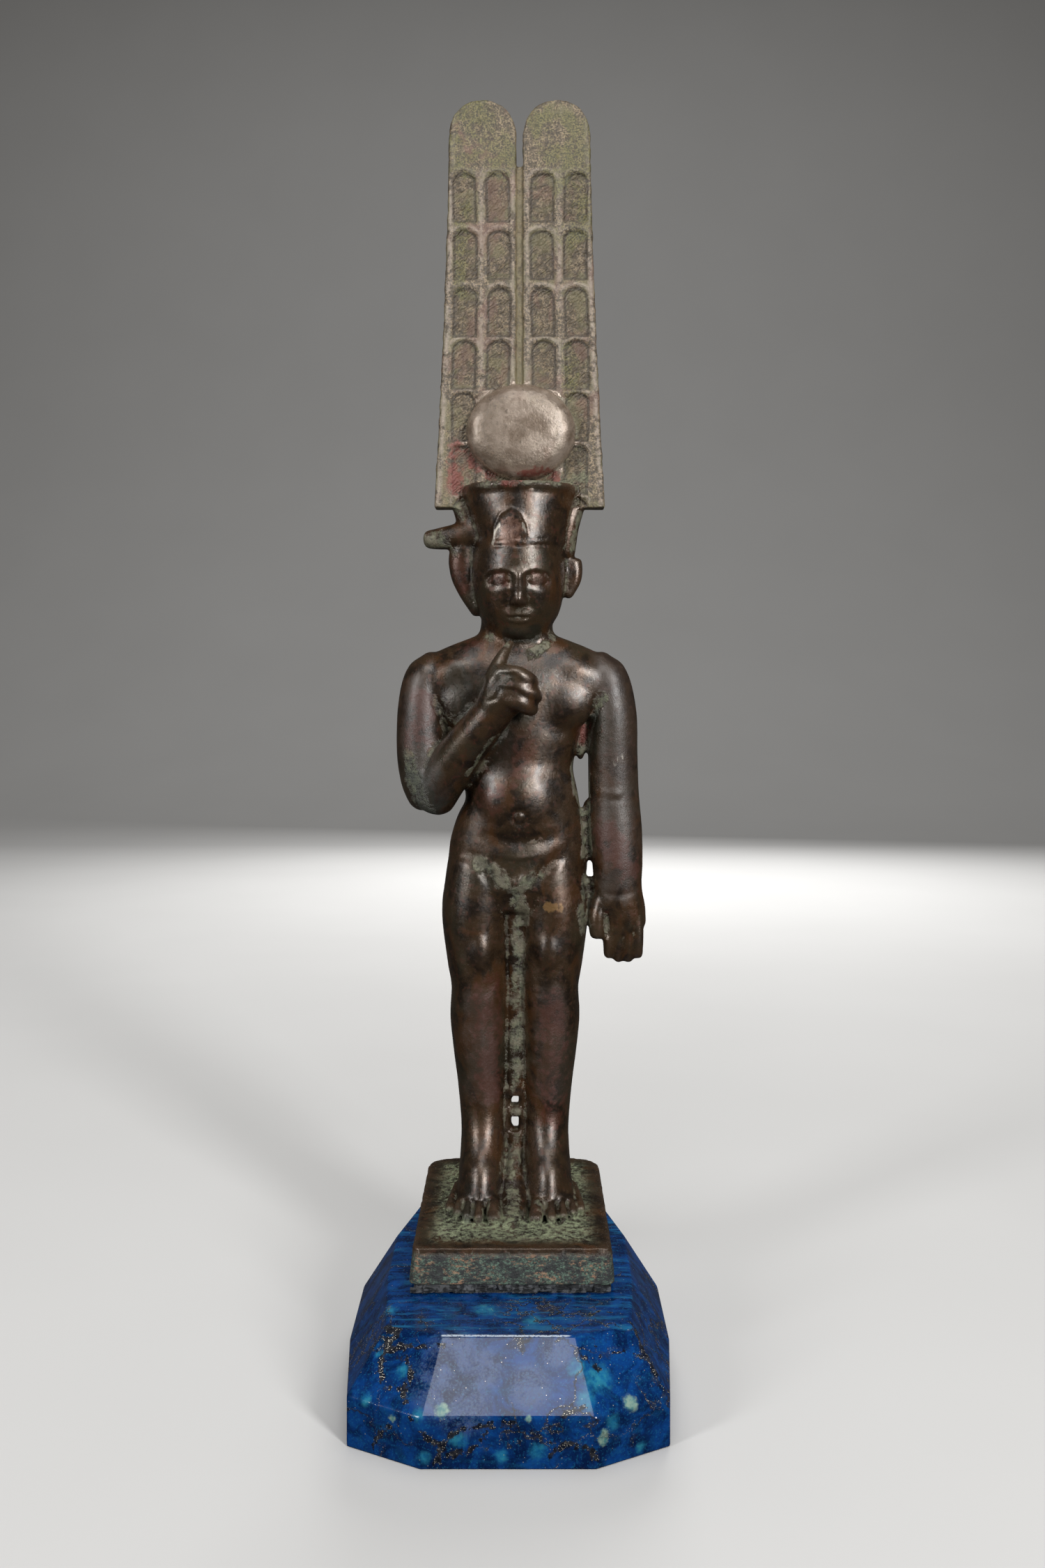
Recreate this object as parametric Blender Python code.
"""Egyptian bronze of a standing child-god in a tall feather crown, on a faceted lapis lazuli plinth.

Metres, +Z up. The figure faces -Y, and the origin is the middle of the plinth's underside.
The figure, its crown and its block base are one casting. It stands in a thin bed of dark mastic
on a stone plinth that was cut for it later.
"""

import math

import bmesh
import bpy
import numpy as np
from mathutils import Matrix, Vector

MM = 0.001
GAP = 0.3 * MM  # clearance between pieces that rest on each other

# Bronze base under the feet
BASE_WIDTH = 38.4 * MM
BASE_DEPTH = 50.5 * MM
BASE_THICKNESS = 7.0 * MM
BASE_X = 0.5 * MM  # it was bedded a little off the plinth's middle
BASE_FLARE = 0.7 * MM
FRONT_CORNER = 1.6 * MM
BACK_CORNER = 5.5 * MM

# Mastic bed between the bronze base and the stone
BED_THICKNESS = 0.9 * MM
BED_MARGIN = 0.1 * MM
BED_WAVE = 0.2 * MM
BED_RIPPLES = (3.1 * MM, 2.3 * MM)

# Stone plinth, cut to suit the bronze base: an upright band, then facets that slope in to the platform
PLINTH_HEIGHT = 18.5 * MM
PLINTH_BAND = 8.9 * MM
SIDE_LEDGE = 4.8 * MM
FRONT_LEDGE = 17.3 * MM
BACK_LEDGE = 0.6 * MM
SIDE_SLOPE = 6.9 * MM
FRONT_SLOPE = 9.7 * MM
PLATFORM_FACET = 23.8 * MM
PLATFORM_SETBACK = 3.3 * MM
PLATFORM_BACK = 37.4 * MM
FOOT_FACET = 30.4 * MM
FOOT_SETBACK = 7.2 * MM
FOOT_BACK = 50.6 * MM
CORNER_INSET = 0.035  # how far in the front corners stand, as a share of the width
FLANK_START, FLANK_END = 0.37, 0.66  # where the straight flanks begin and end, as shares of the depth
POLISHED_EDGE = 0.35 * MM

PLATFORM_WIDTH = BASE_WIDTH + 2 * SIDE_LEDGE
PLATFORM_DEPTH = FRONT_LEDGE + BASE_DEPTH + BACK_LEDGE
FOOT_WIDTH = PLATFORM_WIDTH + 2 * SIDE_SLOPE
FOOT_DEPTH = PLATFORM_DEPTH + FRONT_SLOPE
FOOT_FRONT = -FOOT_DEPTH / 2
PLATFORM_FRONT = FOOT_FRONT + FRONT_SLOPE
BASE_FRONT = PLATFORM_FRONT + FRONT_LEDGE

# Figure: soles to the cap's rim. U is a 151st of it, about a millimetre.
FIGURE_HEIGHT = 151.0 * MM
FIGURE_X = 1.2 * MM
TOES_BEHIND_EDGE = 9.6 * MM
U = FIGURE_HEIGHT / 151
REACH_TO_TOES = 17.9 * U

# Tip of each toe: U out from between the feet, U before the figure's middle plane, and its half width
TOES = ((4.2, -17.1, 1.5), (7.4, -16.8, 1.1), (9.8, -15.8, 1.0), (11.8, -14.0, 1.0), (13.4, -11.9, 0.95))

# Crown of two feathers, each with a border, a rib on either side of the spine, a middle rib and
# two columns of cells that arched bars close off
CROWN_HEIGHT = 86.3 * MM
CROWN_FOOT_HALF = 18.1 * MM
CROWN_TOP_HALF = 14.9 * MM
CROWN_THICKNESS = 4.4 * MM
CROWN_DROP = 5.0 * U  # how far its lower corners hang below the cap's rim
LOBE_HEIGHT = 7.6 * MM
NOTCH_DEPTH = 13.8 * MM
NOTCH_HALF = 0.55 * MM
SPINE_HALF = 1.2 * MM
SPINE_SUNK = 0.5 * MM
RIB_RISE = 0.7 * MM
BORDER_HALF = 0.9 * MM
SPINE_RIB_HALF = 0.7 * MM
MIDDLE_RIB_HALF = 1.15 * MM
BAR_HALF = 0.75 * MM
BAR_ARCH = 1.3 * MM
CELL_PITCH = 11.6 * MM
CELL_COLUMNS = (4.7 * MM, 12.1 * MM)
CELL_HALF = 2.75 * MM
PLAIN_TIP = 14.4 * MM  # from the feathers' tips down to the first bar
DISC_HALF_WIDTH = 11.4 * MM
DISC_HALF_HEIGHT = 10.0 * MM
DISC_BULGE = 3.6 * MM
DISC_FORWARD = 3.0 * MM  # from the crown's middle plane to the disc's
DISC_RISE = 0.8 * MM  # from the cap's rim up to the disc's lower edge

# Fineness of the solid
VOXEL = 0.45 * MM
BRONZE_TRIANGLES = 8800
DOME_ANGLES = (math.radians(36), math.radians(68))

BED_BOTTOM = PLINTH_HEIGHT + GAP
BASE_BOTTOM = BED_BOTTOM + BED_THICKNESS + GAP
SOLE = BASE_BOTTOM + BASE_THICKNESS
FIGURE_Y = BASE_FRONT + TOES_BEHIND_EDGE + REACH_TO_TOES
RIM = SOLE + FIGURE_HEIGHT
CROWN_FOOT = RIM - CROWN_DROP
CROWN_TOP = CROWN_FOOT + CROWN_HEIGHT
CROWN_X = FIGURE_X + 0.7 * U
CROWN_Y = FIGURE_Y + 1.0 * U
CROWN_FACE = CROWN_Y - CROWN_THICKNESS / 2 + RIB_RISE

BACK, UP = Vector((0, 1, 0)), Vector((0, 0, 1))


def clear_scene():
    for obj in list(bpy.data.objects):
        bpy.data.objects.remove(obj, do_unlink=True)


def material(name, colour, roughness, metallic):
    made = bpy.data.materials.new(name)
    made.use_nodes = True
    shader = made.node_tree.nodes["Principled BSDF"]
    shader.inputs["Base Color"].default_value = (*colour, 1)
    shader.inputs["Roughness"].default_value = roughness
    shader.inputs["Metallic"].default_value = metallic
    made.diffuse_color = (*colour, 1)
    return made


def body(x, y, z):
    """A place on the figure: U to the viewer's right, behind its middle plane, and above the soles."""
    return Vector((FIGURE_X + x * U, FIGURE_Y + y * U, SOLE + z * U))


def flowing(rows, steps):
    """Catmull-Rom rows between the given ones, so that a form swells and narrows without corners."""
    rows = np.array(rows, float)
    padded = np.vstack([2 * rows[0] - rows[1], rows, 2 * rows[-1] - rows[-2]])
    made = []
    for before, start, end, after in zip(padded, padded[1:], padded[2:], padded[3:]):
        for t in np.arange(steps) / steps:
            made.append(
                start
                + 0.5 * t * (end - before)
                + t * t * (before - 2.5 * start + 2 * end - 0.5 * after)
                + t**3 * (1.5 * (start - end) + 0.5 * (after - before))
            )
    return made + [rows[-1]]


def ring(bm, centre, across, deep, sides):
    """A loop of edges on the ellipse with these two half axes."""
    frame = Matrix.Identity(4)
    for column, vector in enumerate((across, deep, across.cross(deep).normalized(), centre)):
        frame.col[column][:3] = vector
    made = bmesh.ops.create_circle(bm, segments=sides, radius=1.0, matrix=frame)
    return list({edge for vert in made["verts"] for edge in vert.link_edges})


def dome_rings(rings, dome):
    """Shrinking rings that round off the start of a row of rings, the outermost last."""
    (start, wide, deep), (after, _, _) = rings[:2]
    reach = (start - after).normalized() * dome * min(wide, deep)
    return [
        (start + reach * math.sin(angle), wide * math.cos(angle), deep * math.cos(angle))
        for angle in DOME_ANGLES
    ]


def loft(bm, rows, facing=BACK, steps=3, sides=20, dome=0.55):
    """Skin elliptical rings along a path, with rounded ends. A row is x, y, z, half width and half depth."""
    rings = [(Vector(row[:3]), row[3], row[4]) for row in flowing(rows, steps)]
    rings = dome_rings(rings, dome)[::-1] + rings + dome_rings(rings[::-1], dome)
    centres = [centre for centre, _, _ in rings]
    loops = []
    for index, (centre, wide, half_depth) in enumerate(rings):
        along = (centres[min(index + 1, len(centres) - 1)] - centres[max(index - 1, 0)]).normalized()
        deep = (facing - along * facing.dot(along)).normalized()
        loops.append(ring(bm, centre, deep.cross(along) * wide, deep * half_depth, sides))
    skin = []
    for lower, upper in zip(loops, loops[1:]):
        skin += bmesh.ops.bridge_loops(bm, edges=lower + upper)["faces"]
    for loop in (loops[0], loops[-1]):
        skin += bmesh.ops.contextual_create(bm, geom=loop)["faces"]
    bmesh.ops.recalc_face_normals(bm, faces=skin)


def form(bm, rows, **options):
    """A loft given in figure units."""
    loft(bm, [(*body(x, y, z), wide * U, deep * U) for x, y, z, wide, deep in rows], **options)


def ball(bm, centre, radii):
    scale = Matrix.Translation(centre) @ Matrix.Diagonal((*radii, 1))
    bmesh.ops.create_uvsphere(bm, u_segments=24, v_segments=16, radius=1.0, matrix=scale)


def lump(bm, x, y, z, wide, deep, high):
    ball(bm, body(x, y, z), (wide * U, deep * U, high * U))


def slab(bm, outline, thickness_vector):
    """A closed outline of points pushed out along a vector."""
    face = bm.faces.new([bm.verts.new(point) for point in outline])
    pushed = bmesh.ops.extrude_face_region(bm, geom=[face])["geom"]
    top = [item for item in pushed if isinstance(item, bmesh.types.BMVert)]
    bmesh.ops.translate(bm, verts=top, vec=thickness_vector)
    faces = list({near for vert in top for near in vert.link_faces} | {face})
    bmesh.ops.recalc_face_normals(bm, faces=faces)


def torso(bm):
    form(bm, [
        (0.0, 0.6, 61, 11.5, 6.6),
        (0.2, 0.9, 66, 14.4, 8.2),
        (0.4, 0.8, 73, 14.9, 8.4),
        (0.8, 0.4, 78.5, 13.9, 8.2),
        (1.2, 0.0, 84, 12.2, 7.9),
        (0.3, 0.0, 90, 11.8, 7.4),
        (0.2, 0.1, 97, 13.2, 7.7),
        (0.2, 0.3, 103, 14.8, 7.9),
        (0.1, 0.5, 107.5, 18.0, 7.8),
        (0.0, 0.7, 111.2, 20.6, 7.2),
        (0.0, 0.9, 114.2, 19.4, 6.2),
        (0.0, 1.0, 116.5, 15.2, 5.6),
        (0.0, 1.1, 118.6, 9.6, 5.4),
    ], sides=32, dome=0.2)
    form(bm, [
        (0.0, 1.4, 114, 9.0, 6.2),
        (0.0, 1.4, 119, 7.9, 6.4),
        (0.2, 1.2, 126, 7.6, 6.4),
    ])
    for side in (-1, 1):
        lump(bm, 8.8 * side, -3.5, 104.8, 8.2, 3.4, 6.6)
        lump(bm, 15.0 * side, 1.2, 108.8, 8.4, 6.8, 6.6)
        lump(bm, 6.0 * side, 5.2, 68, 6.6, 5.0, 7.4)
    lump(bm, 0.7, -3.4, 83.2, 9.2, 5.6, 8.6)
    lump(bm, 0.4, -6.9, 67.4, 1.5, 1.2, 2.0)
    form(bm, [(-14.4, 1.0, z, 3.0, 3.4) for z in (92, 98, 104)])


def legs(bm):
    for side in (-1, 1):
        middle = -0.3
        form(bm, [
            (middle + side * x, y, z, wide, deep)
            for x, y, z, wide, deep in (
                (7.1, 0.8, 71, 7.2, 7.4),
                (7.6, 0.8, 66, 7.4, 7.8),
                (8.2, 0.7, 60, 7.4, 8.0),
                (7.9, 0.2, 51, 6.6, 7.4),
                (7.4, -0.2, 45, 6.1, 6.8),
                (7.6, 0.5, 38.5, 6.2, 6.6),
                (7.4, 1.0, 32, 5.8, 6.6),
                (7.0, 1.1, 25, 5.3, 5.9),
                (6.8, 0.9, 18, 5.0, 5.1),
                (6.7, 0.7, 11, 4.8, 4.7),
                (6.8, 0.8, 4, 4.8, 5.2),
                (6.8, 0.8, -1, 4.8, 5.6),
            )
        ])
        lump(bm, middle + 7.3 * side, -4.4, 53, 3.4, 3.4, 6.4)


def feet(bm):
    for side in (-1, 1):
        middle = -0.2
        form(bm, [
            (middle + side * x, y, top / 2 - 1, wide, top / 2 + 1)
            for x, y, wide, top in (
                (6.8, 4.6, 4.2, 7.0),
                (6.8, 1.0, 4.9, 13.0),
                (6.9, -2.2, 4.9, 13.6),
                (7.2, -5.0, 4.8, 9.6),
                (7.7, -7.8, 4.8, 6.0),
                (8.3, -10.4, 4.8, 3.8),
            )
        ], facing=UP, dome=0.3)


def toe_root(x):
    """How far out a toe starts whose tip is x out: they fan from the ball of the foot."""
    return 0.8 * x + 1.4


def toes(bm):
    """Five long toes on each foot, the big one inside and foremost."""
    for side in (-1, 1):
        for x, tip, half in TOES:
            root = toe_root(x)
            form(bm, [
                (side * root - 0.2, tip + 9.0, 2.8, half, 1.5),
                (side * (root + x) / 2 - 0.2, tip + 5.4, 2.3, half, 1.3),
                (side * x - 0.2, tip + 1.2, 0.9, half, 1.2),
            ], facing=UP, sides=10)


def webs(bm):
    """Metal that filled the narrow gaps of the mould and was never cut out."""
    for side in (-1, 1):
        form(bm, [(-0.3 + 1.7 * side, 0.9, z, 0.95, 2.2) for z in (13, 18, 23)], sides=12, dome=0.1)
    for low, high, forward in ((21.6, 67.0, 1.6), (17.2, 18.9, 0.0), (6.0, 13.8, 0.0)):
        form(bm, [
            (-0.3, 0.9, low, 2.6, 2.4),
            (-0.3, 0.9 - forward / 2, (low + high) / 2, 2.6, 2.6),
            (-0.3, 0.9 - forward, high, 2.8, 4.0 if forward else 2.4),
        ], sides=12, dome=0.1)
    form(bm, [
        (-0.6, y, top / 2 - 1, wide, top / 2 + 1)
        for y, wide, top in ((1.5, 2.6, 12), (-3.0, 3.0, 8.2), (-7.5, 3.3, 4.6), (-12.5, 3.2, 2.2), (-16.6, 2.9, 0.7))
    ], facing=UP, sides=12, dome=0.2)
    for low, high in ((61.5, 67.6), (71.4, 82.2), (94.6, 104.0)):
        form(bm, [(15.0, 0.4, z, 2.4, 1.3) for z in (low, (low + high) / 2, high)], sides=12, dome=0.1)


def hanging_arm(bm):
    form(bm, [
        (17.4, 0.8, 114.0, 2.6, 3.6),
        (18.1, 0.7, 112.0, 4.2, 5.0),
        (19.1, 0.5, 109.4, 4.9, 5.8),
        (19.8, 0.4, 106.0, 5.2, 6.1),
        (20.4, 0.2, 101, 5.3, 6.2),
        (20.5, 0.2, 93, 5.3, 5.9),
        (20.7, 0.1, 85, 5.4, 5.6),
        (21.1, -0.3, 78, 5.6, 5.5),
        (21.4, -0.7, 71, 5.4, 5.1),
        (21.5, -1.0, 65.5, 5.1, 4.4),
        (21.9, -1.2, 61, 5.5, 3.8),
        (22.9, -1.3, 57, 4.8, 3.2),
    ])


def hanging_hand(bm):
    for finger in range(4):
        x = 19.5 + 2.05 * finger
        tip = 50.4 if finger in (0, 3) else 49.6
        form(bm, [(x, -1.4, 60, 1.25, 2.6), (x, -1.6, 55, 1.25, 2.4), (x, -1.4, tip + 1.0, 1.15, 1.8)], sides=12)
    form(bm, [(18.0, -1.4, 63.5, 2.0, 2.4), (17.1, -2.2, 59.4, 2.0, 2.3), (17.1, -2.4, 55.8, 1.7, 1.9)], sides=12)


def bent_arm(bm):
    form(bm, [
        (-17.4, 0.8, 114.0, 2.6, 3.6),
        (-18.1, 0.7, 112.0, 4.2, 5.0),
        (-19.1, 0.5, 109.4, 4.9, 5.8),
        (-19.7, 0.3, 106.0, 5.2, 6.0),
        (-20.0, 0.0, 101, 5.4, 6.0),
        (-20.0, -0.3, 94, 5.4, 5.8),
        (-19.3, -0.9, 88.6, 5.2, 5.6),
        (-17.9, -1.6, 85.0, 4.9, 5.2),
    ])
    form(bm, [
        (-18.0, -1.6, 85.0, 5.3, 5.2),
        (-14.3, -4.4, 90.4, 5.0, 4.9),
        (-10.2, -7.2, 96.0, 4.6, 4.6),
        (-6.2, -9.6, 101, 4.2, 4.2),
        (-3.8, -10.6, 104, 4.1, 4.0),
    ])
    lump(bm, -1.2, -11.4, 106.4, 5.4, 4.4, 4.7)


def raised_hand(bm):
    """Curled fingers and thumb, and the forefinger that points to the mouth."""
    for curl in range(3):
        z = 109.0 - 2.7 * curl
        form(bm, [(-3.4, -14.4, z, 1.5, 1.5), (0.4, -15.4, z - 0.3, 1.5, 1.5), (3.4, -13.2, z - 0.4, 1.4, 1.4)], sides=12)
    form(bm, [(-4.8, -12.6, 104.0, 1.7, 1.7), (-3.6, -15.0, 107.2, 1.5, 1.5), (-1.0, -15.8, 108.8, 1.2, 1.2)], sides=12)
    form(bm, [(-4.8, -11.8, 109.0, 2.1, 2.3), (-3.0, -10.8, 113.2, 1.6, 1.7), (-1.0, -9.2, 116.8, 1.0, 1.1)], sides=12)


def head(bm):
    form(bm, [
        (0.4, -3.6, 118.4, 4.2, 3.6),
        (0.4, -2.5, 120.4, 6.5, 5.8),
        (0.4, -1.5, 123, 8.1, 7.6),
        (0.5, -0.5, 126, 9.2, 9.2),
        (0.5, 0.1, 130, 9.8, 10.0),
        (0.5, 0.4, 134, 9.9, 10.4),
        (0.6, 0.4, 139, 9.3, 10.2),
    ], sides=28, dome=0.25)


def face(bm):
    """Plain features by the usual thirds and fifths of a head this size."""
    eye = 3.95
    brow, nose_foot, mouth = 131.6, 125.0, 122.6
    form(bm, [(0.5, -9.5, brow, 0.9, 0.9), (0.5, -10.6, 128.0, 1.1, 1.3), (0.5, -10.6, nose_foot + 0.9, 1.6, 1.6)], sides=12)
    for side in (-1, 1):
        form(bm, [
            (0.5 + side * (eye - 1.9), -9.2, 129.9, 0.6, 0.5),
            (0.5 + side * eye, -8.9, 130.2, 1.0, 0.9),
            (0.5 + side * (eye + 1.9), -7.6, 129.9, 0.5, 0.5),
        ], sides=10)
        form(bm, [
            (0.5 + side * 1.4, -9.7, brow + 0.1, 0.5, 0.5),
            (0.5 + side * eye, -9.0, brow + 0.9, 0.5, 0.6),
            (0.5 + side * (eye + 2.6), -7.2, brow, 0.4, 0.5),
        ], sides=10)
        lump(bm, 0.5 + 1.2 * side, -9.9, nose_foot + 0.7, 0.8, 0.9, 0.7)
    for z, half in ((mouth + 0.35, 0.5), (mouth - 0.55, 0.6)):
        form(bm, [
            (0.5 + x, -8.9 + 0.11 * x * x, z + 0.03 * x * x, half * (1 - abs(x) / 5.6), half * (1 - abs(x) / 5.6))
            for x in (-2.6, -1.3, 0.0, 1.3, 2.6)
        ], sides=10)
    lump(bm, 0.5, -7.0, 120.1, 2.4, 1.4, 1.6)


def ears(bm):
    form(bm, [(11.0, 0.4, 127.6, 1.3, 1.0), (11.9, 0.6, 131.4, 2.1, 1.4), (11.7, 0.8, 135.0, 2.2, 1.4)], sides=14)
    form(bm, [
        (-8.0, 1.0, 124.0, 1.6, 2.0),
        (-9.8, 0.8, 128.4, 2.6, 2.0),
        (-11.0, 0.6, 132.4, 3.2, 2.0),
        (-11.2, 0.6, 136.4, 3.2, 2.2),
        (-10.6, 0.6, 140.4, 2.6, 2.4),
    ], sides=14)


def sidelock_stub(bm):
    """What is left of the plaited lock on the figure's right, and the backing of the cap's sides."""
    form(bm, [
        (-9.0, 0.6, 140.6, 3.2, 3.6),
        (-13.0, 0.6, 140.0, 2.7, 2.8),
        (-16.2, 0.6, 139.6, 2.2, 2.4),
        (-19.0, 0.6, 139.4, 1.7, 2.0),
    ], facing=UP, sides=16)
    for side, lean in ((-1, 0.0), (1, 0.9)):
        form(bm, [
            (side * 9.2 + lean, 1.4, 136.0, 2.4, 2.6),
            (side * 10.0 + lean, 1.2, 141.6, 2.4, 2.8),
            (side * 10.9 + lean, 1.2, 145.0, 2.4, 2.6),
            (side * 11.6 + lean, 1.2, 148.6, 2.8, 2.2),
        ], sides=12)


def cap(bm):
    form(bm, [
        (1.1, 0.4, 137.6, 9.3, 10.2),
        (1.0, 0.5, 141.5, 9.9, 10.0),
        (0.8, 0.6, 145.6, 11.1, 9.9),
        (0.7, 0.8, 148.6, 12.2, 10.0),
        (0.7, 0.9, 150.1, 12.4, 10.0),
    ], sides=36, dome=0.02)


def feather_edge(z):
    """Half width of the crown at a height."""
    down = (CROWN_TOP - z) / CROWN_HEIGHT
    return CROWN_TOP_HALF + (CROWN_FOOT_HALF - CROWN_TOP_HALF) * down**1.6


def feather_outline(side):
    shoulder = CROWN_TOP - LOBE_HEIGHT
    points = [(NOTCH_HALF, CROWN_FOOT)]
    for k in range(8):
        z = CROWN_FOOT + (shoulder - CROWN_FOOT) * k / 8
        points.append((feather_edge(z), z))
    middle = (feather_edge(shoulder) + NOTCH_HALF) / 2
    half = feather_edge(shoulder) - middle
    for k in range(13):
        angle = math.pi * k / 12
        bulge = abs(math.cos(angle)) ** 0.85 * math.copysign(1, math.cos(angle))
        points.append((middle + half * bulge, shoulder + LOBE_HEIGHT * math.sin(angle)))
    return [Vector((CROWN_X + side * x, CROWN_FACE, z)) for x, z in points]


def rib(bm, points, half):
    loft(bm, [(CROWN_X + x, CROWN_FACE, z, half, RIB_RISE) for x, z in points], steps=2, sides=10, dome=0.3)


def feather(bm, side):
    thick = CROWN_THICKNESS - RIB_RISE
    slab(bm, feather_outline(side), BACK * thick)
    low, high = CROWN_FOOT + BORDER_HALF, CROWN_TOP - LOBE_HEIGHT - BORDER_HALF
    heights = [low + (high - low) * k / 6 for k in range(7)]
    rib(bm, [(side * (feather_edge(z) - BORDER_HALF), z) for z in heights], BORDER_HALF)
    rib(bm, [(side * (NOTCH_HALF + SPINE_RIB_HALF), z) for z in heights], SPINE_RIB_HALF)
    rib(bm, [(side * sum(CELL_COLUMNS) / 2, z) for z in heights], MIDDLE_RIB_HALF)
    bars = int((CROWN_HEIGHT - PLAIN_TIP) / CELL_PITCH) + 1
    for column in CELL_COLUMNS:
        for bar in range(bars):
            top = CROWN_TOP - PLAIN_TIP - bar * CELL_PITCH
            rib(bm, [
                (side * column - CELL_HALF, top - BAR_ARCH),
                (side * column, top),
                (side * column + CELL_HALF, top - BAR_ARCH),
            ], BAR_HALF)


def crown(bm):
    """Two tall feathers joined by a sunk spine, and the sun disc before them."""
    for side in (-1, 1):
        feather(bm, side)
    notch = CROWN_TOP - NOTCH_DEPTH
    spine = [(-1, CROWN_FOOT), (1, CROWN_FOOT), (1, notch), (-1, notch)]
    slab(
        bm,
        [Vector((CROWN_X + x * SPINE_HALF, CROWN_FACE + SPINE_SUNK, z)) for x, z in spine],
        BACK * (CROWN_THICKNESS - RIB_RISE - 2 * SPINE_SUNK),
    )
    ball(
        bm,
        Vector((CROWN_X + 0.4 * U, CROWN_Y - DISC_FORWARD, RIM + DISC_RISE + DISC_HALF_HEIGHT)),
        (DISC_HALF_WIDTH, DISC_BULGE, DISC_HALF_HEIGHT),
    )


def base_outline(z, spread):
    half = BASE_WIDTH / 2 + spread
    front, back = BASE_FRONT - spread, BASE_FRONT + BASE_DEPTH + spread
    points = []
    for x, y, radius, start in (
        (half, front, FRONT_CORNER, 270),
        (half, back, BACK_CORNER, 0),
        (-half, back, BACK_CORNER, 90),
        (-half, front, FRONT_CORNER, 180),
    ):
        centre = Vector((x - math.copysign(radius, x), y + (radius if y == front else -radius)))
        for k in range(6):
            angle = math.radians(start + 90 * k / 5)
            points.append(Vector((
                BASE_X + centre.x + radius * math.cos(angle), centre.y + radius * math.sin(angle), z
            )))
    return points


def bronze_base(bm):
    """A low block, a little wider at its foot, with rounded back corners."""
    slab(bm, base_outline(BASE_BOTTOM, 0), UP * BASE_THICKNESS)
    for vert in bm.verts:
        if vert.co.z < BASE_BOTTOM + BASE_THICKNESS / 2:
            vert.co.x += math.copysign(BASE_FLARE, vert.co.x - BASE_X)


def mesh_of(builders):
    bm = bmesh.new()
    for build in builders:
        build(bm)
    mesh = bpy.data.meshes.new("forms")
    bm.to_mesh(mesh)
    bm.free()
    return mesh


def evaluated(mesh, modifiers):
    """A mesh with modifiers applied."""
    obj = bpy.data.objects.new("shaping", mesh)
    bpy.context.scene.collection.objects.link(obj)
    for kind, settings in modifiers:
        added = obj.modifiers.new(kind.lower(), kind)
        for name, value in settings.items():
            setattr(added, name, value)
    graph = bpy.context.evaluated_depsgraph_get()
    made = bpy.data.meshes.new_from_object(obj.evaluated_get(graph))
    bpy.data.objects.remove(obj, do_unlink=True)
    return made


def joined(meshes):
    bm = bmesh.new()
    for mesh in meshes:
        bm.from_mesh(mesh)
    made = bpy.data.meshes.new("joined")
    bm.to_mesh(made)
    bm.free()
    return made


def carve(mesh, strokes):
    """Press strokes into the skin. A stroke is its path, its half width and its depth."""
    count = len(mesh.vertices)
    places = np.empty(count * 3, np.float32)
    normals = np.empty(count * 3, np.float32)
    mesh.vertices.foreach_get("co", places)
    mesh.vertex_normals.foreach_get("vector", normals)
    places, normals = places.reshape(-1, 3).astype(float), normals.reshape(-1, 3)
    shift = np.zeros(count)
    for path, half, depth in strokes:
        path = np.array([tuple(point) for point in path])
        near = ((places > path.min(0) - half) & (places < path.max(0) + half)).all(1)
        spots = places[near]
        distance = np.full(len(spots), np.inf)
        for start, end in zip(path, path[1:]):
            run = end - start
            share = np.clip((spots - start) @ run / (run @ run), 0, 1)
            distance = np.minimum(distance, np.linalg.norm(spots - start - share[:, None] * run, axis=1))
        shift[near] += depth * np.clip(1 - (distance / half) ** 2, 0, 1) ** 2
    mesh.vertices.foreach_set("co", (places - normals * shift[:, None]).astype(np.float32).ravel())
    mesh.update()


def body_strokes():
    """Folds and lines of the flesh that show from a step away."""
    def line(points, half, depth):
        return [body(*point) for point in points], half * U, depth * U

    strokes = [
        line([(0.6, -9.6, 81.2), (0.7, -9.6, 80.8)], 1.6, 1.0),
        line([(-7.5, -7.6, 76.6), (0.5, -8.8, 75.6), (9.0, -7.6, 76.6)], 1.3, 0.5),
        line([(15.6, -4.0, 84.3), (20.6, -5.6, 84.0), (25.6, -3.6, 84.4)], 1.0, 0.35),
        line([(-8.6, -4.0, 137.4), (0.8, -10.0, 137.2), (9.6, -4.0, 137.4)], 0.9, 0.35),
    ]
    for side in (-1, 1):
        groin = [(0.3 + 9.5 * side, -6.4, 73.4), (0.3 + 5.6 * side, -7.8, 69.0), (0.1 + 2.6 * side, -7.0, 64.6)]
        strokes.append(line(groin, 1.3, 0.6))
        for (x, tip, half), (next_x, next_tip, next_half) in zip(TOES, TOES[1:]):
            gap = (x + half + next_x - next_half) / 2
            back = max(tip, next_tip) + 7.5
            strokes.append(line(
                [(side * gap - 0.2, min(tip, next_tip), 1.2), (side * toe_root(gap) - 0.2, back, 4.0)], 0.75, 0.9
            ))
    return strokes


def bronze_statuette(bronze):
    flesh = evaluated(
        mesh_of([torso, legs, feet, hanging_arm, bent_arm, head]),
        [
            ("REMESH", {"mode": "VOXEL", "voxel_size": VOXEL}),
            ("SMOOTH", {"factor": 0.5, "iterations": 10}),
        ],
    )
    details = mesh_of([bronze_base, toes, webs, hanging_hand, raised_hand, face, ears, sidelock_stub, cap, crown])
    mesh = evaluated(
        joined([flesh, details]),
        [
            ("REMESH", {"mode": "VOXEL", "voxel_size": VOXEL}),
            ("SMOOTH", {"factor": 0.5, "iterations": 2}),
        ],
    )
    carve(mesh, body_strokes())
    mesh.name = "bronze_statuette"
    mesh.materials.clear()
    mesh.materials.append(bronze)
    obj = bpy.data.objects.new("bronze_statuette", mesh)
    bpy.context.scene.collection.objects.link(obj)
    fewer = obj.modifiers.new("fewer faces", "DECIMATE")
    fewer.ratio = BRONZE_TRIANGLES / (2 * len(mesh.polygons))
    return obj


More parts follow.
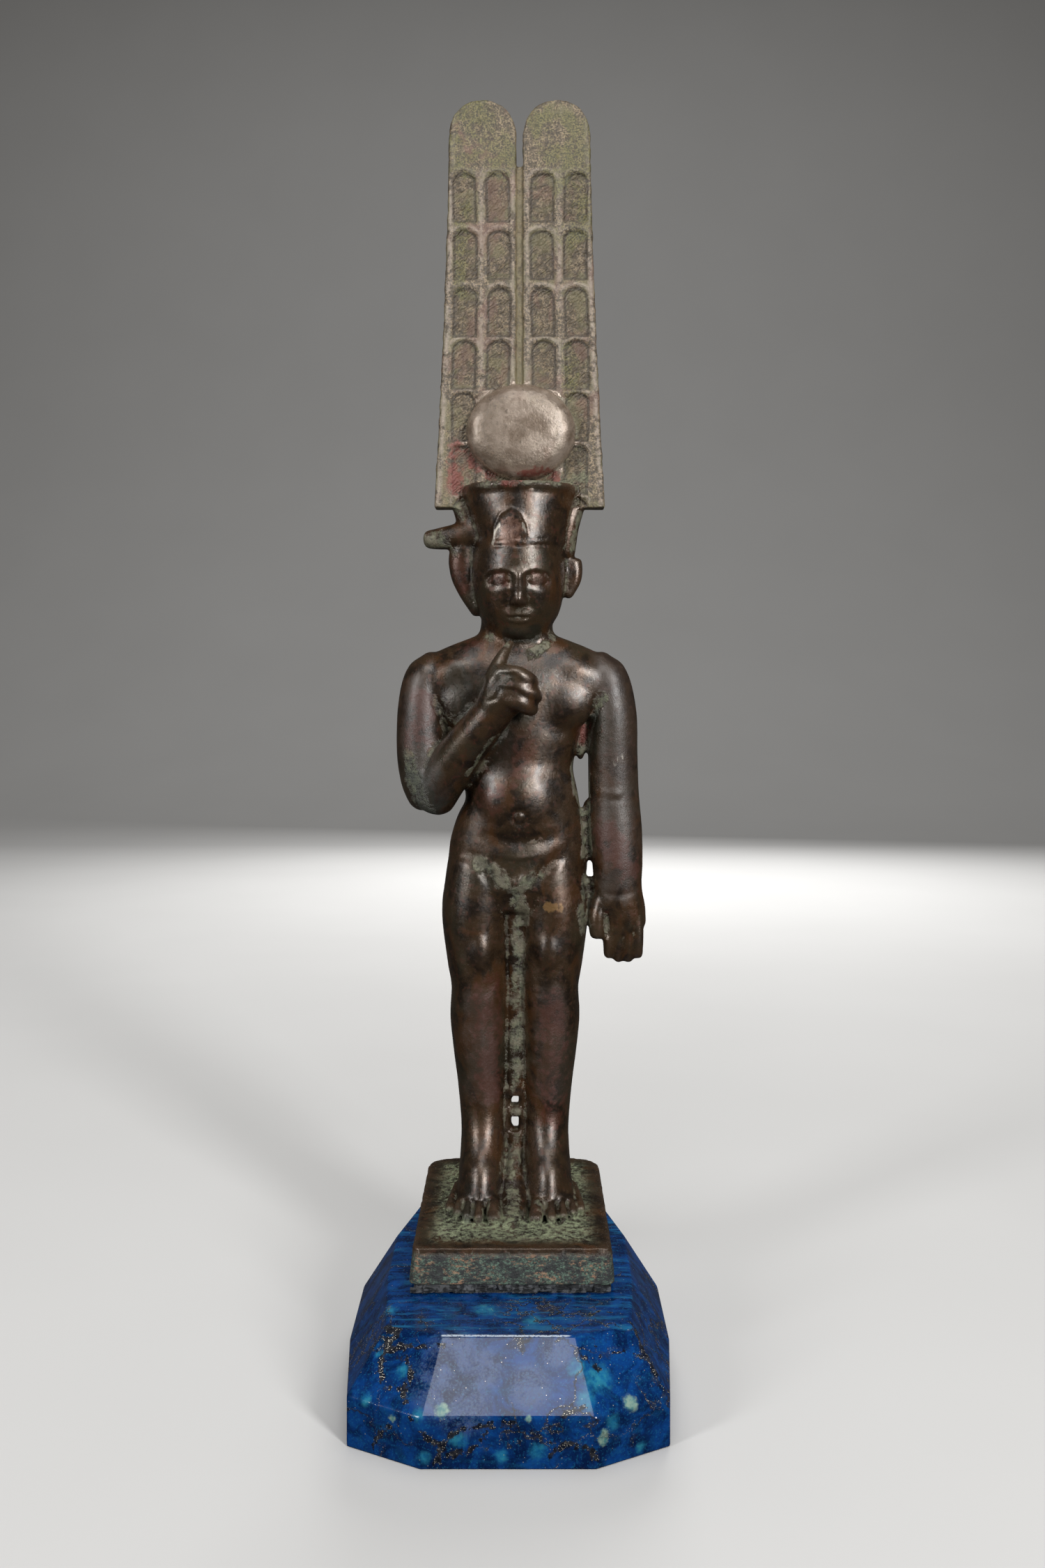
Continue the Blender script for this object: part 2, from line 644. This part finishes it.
def plinth_outline(width, depth, front, facet, setback, back, z):
    """Ten corners: a front facet, two slanting ones, long flanks that close in to the back."""
    right = [
        (facet / 2, front),
        ((0.5 - CORNER_INSET) * width, front + setback),
        (width / 2, front + FLANK_START * depth),
        (width / 2, front + FLANK_END * depth),
        (back / 2, front + depth),
    ]
    return [Vector((x, y, z)) for x, y in right] + [Vector((-x, y, z)) for x, y in reversed(right)]


def lapis_plinth(lapis):
    foot = plinth_outline(FOOT_WIDTH, FOOT_DEPTH, FOOT_FRONT, FOOT_FACET, FOOT_SETBACK, FOOT_BACK, 0)
    platform = plinth_outline(
        PLATFORM_WIDTH, PLATFORM_DEPTH, PLATFORM_FRONT, PLATFORM_FACET, PLATFORM_SETBACK, PLATFORM_BACK,
        PLINTH_HEIGHT,
    )
    bm = bmesh.new()
    levels = [
        [bm.verts.new(point) for point in foot],
        [bm.verts.new(point + UP * PLINTH_BAND) for point in foot],
        [bm.verts.new(point) for point in platform],
    ]
    for lower, upper in zip(levels, levels[1:]):
        for k in range(len(lower)):
            after = (k + 1) % len(lower)
            bm.faces.new((lower[k], lower[after], upper[after], upper[k]))
    bm.faces.new(list(reversed(levels[0])))
    bm.faces.new(levels[-1])
    bmesh.ops.recalc_face_normals(bm, faces=bm.faces)
    mesh = bpy.data.meshes.new("lapis_plinth")
    bm.to_mesh(mesh)
    bm.free()
    mesh.materials.append(lapis)
    obj = bpy.data.objects.new("lapis_plinth", mesh)
    bpy.context.scene.collection.objects.link(obj)
    edge = obj.modifiers.new("polished edge", "BEVEL")
    edge.width = POLISHED_EDGE
    edge.segments = 2
    return obj


def mastic_bed(mastic):
    """The dark bedding compound that squeezed out unevenly under the bronze base."""
    bm = bmesh.new()
    slab(bm, base_outline(BED_BOTTOM, BED_MARGIN), UP * BED_THICKNESS)
    for vert in bm.verts:
        wave = math.sin(vert.co.x / BED_RIPPLES[0]) + math.cos(vert.co.y / BED_RIPPLES[1])
        outward = Vector((vert.co.x - BASE_X, vert.co.y - BASE_FRONT - BASE_DEPTH / 2, 0)).normalized()
        vert.co += outward * BED_WAVE * wave
    mesh = bpy.data.meshes.new("mastic_bed")
    bm.to_mesh(mesh)
    bm.free()
    mesh.materials.append(mastic)
    obj = bpy.data.objects.new("mastic_bed", mesh)
    bpy.context.scene.collection.objects.link(obj)
    return obj


def main():
    clear_scene()
    bronze = material("brown bronze", (0.085, 0.050, 0.034), 0.38, 0.85)
    lapis = material("lapis lazuli", (0.010, 0.045, 0.260), 0.12, 0.0)
    mastic = material("dark mastic", (0.045, 0.045, 0.042), 0.75, 0.0)
    lapis_plinth(lapis)
    mastic_bed(mastic)
    statuette = bronze_statuette(bronze)
    statuette.data.shade_smooth()


main()
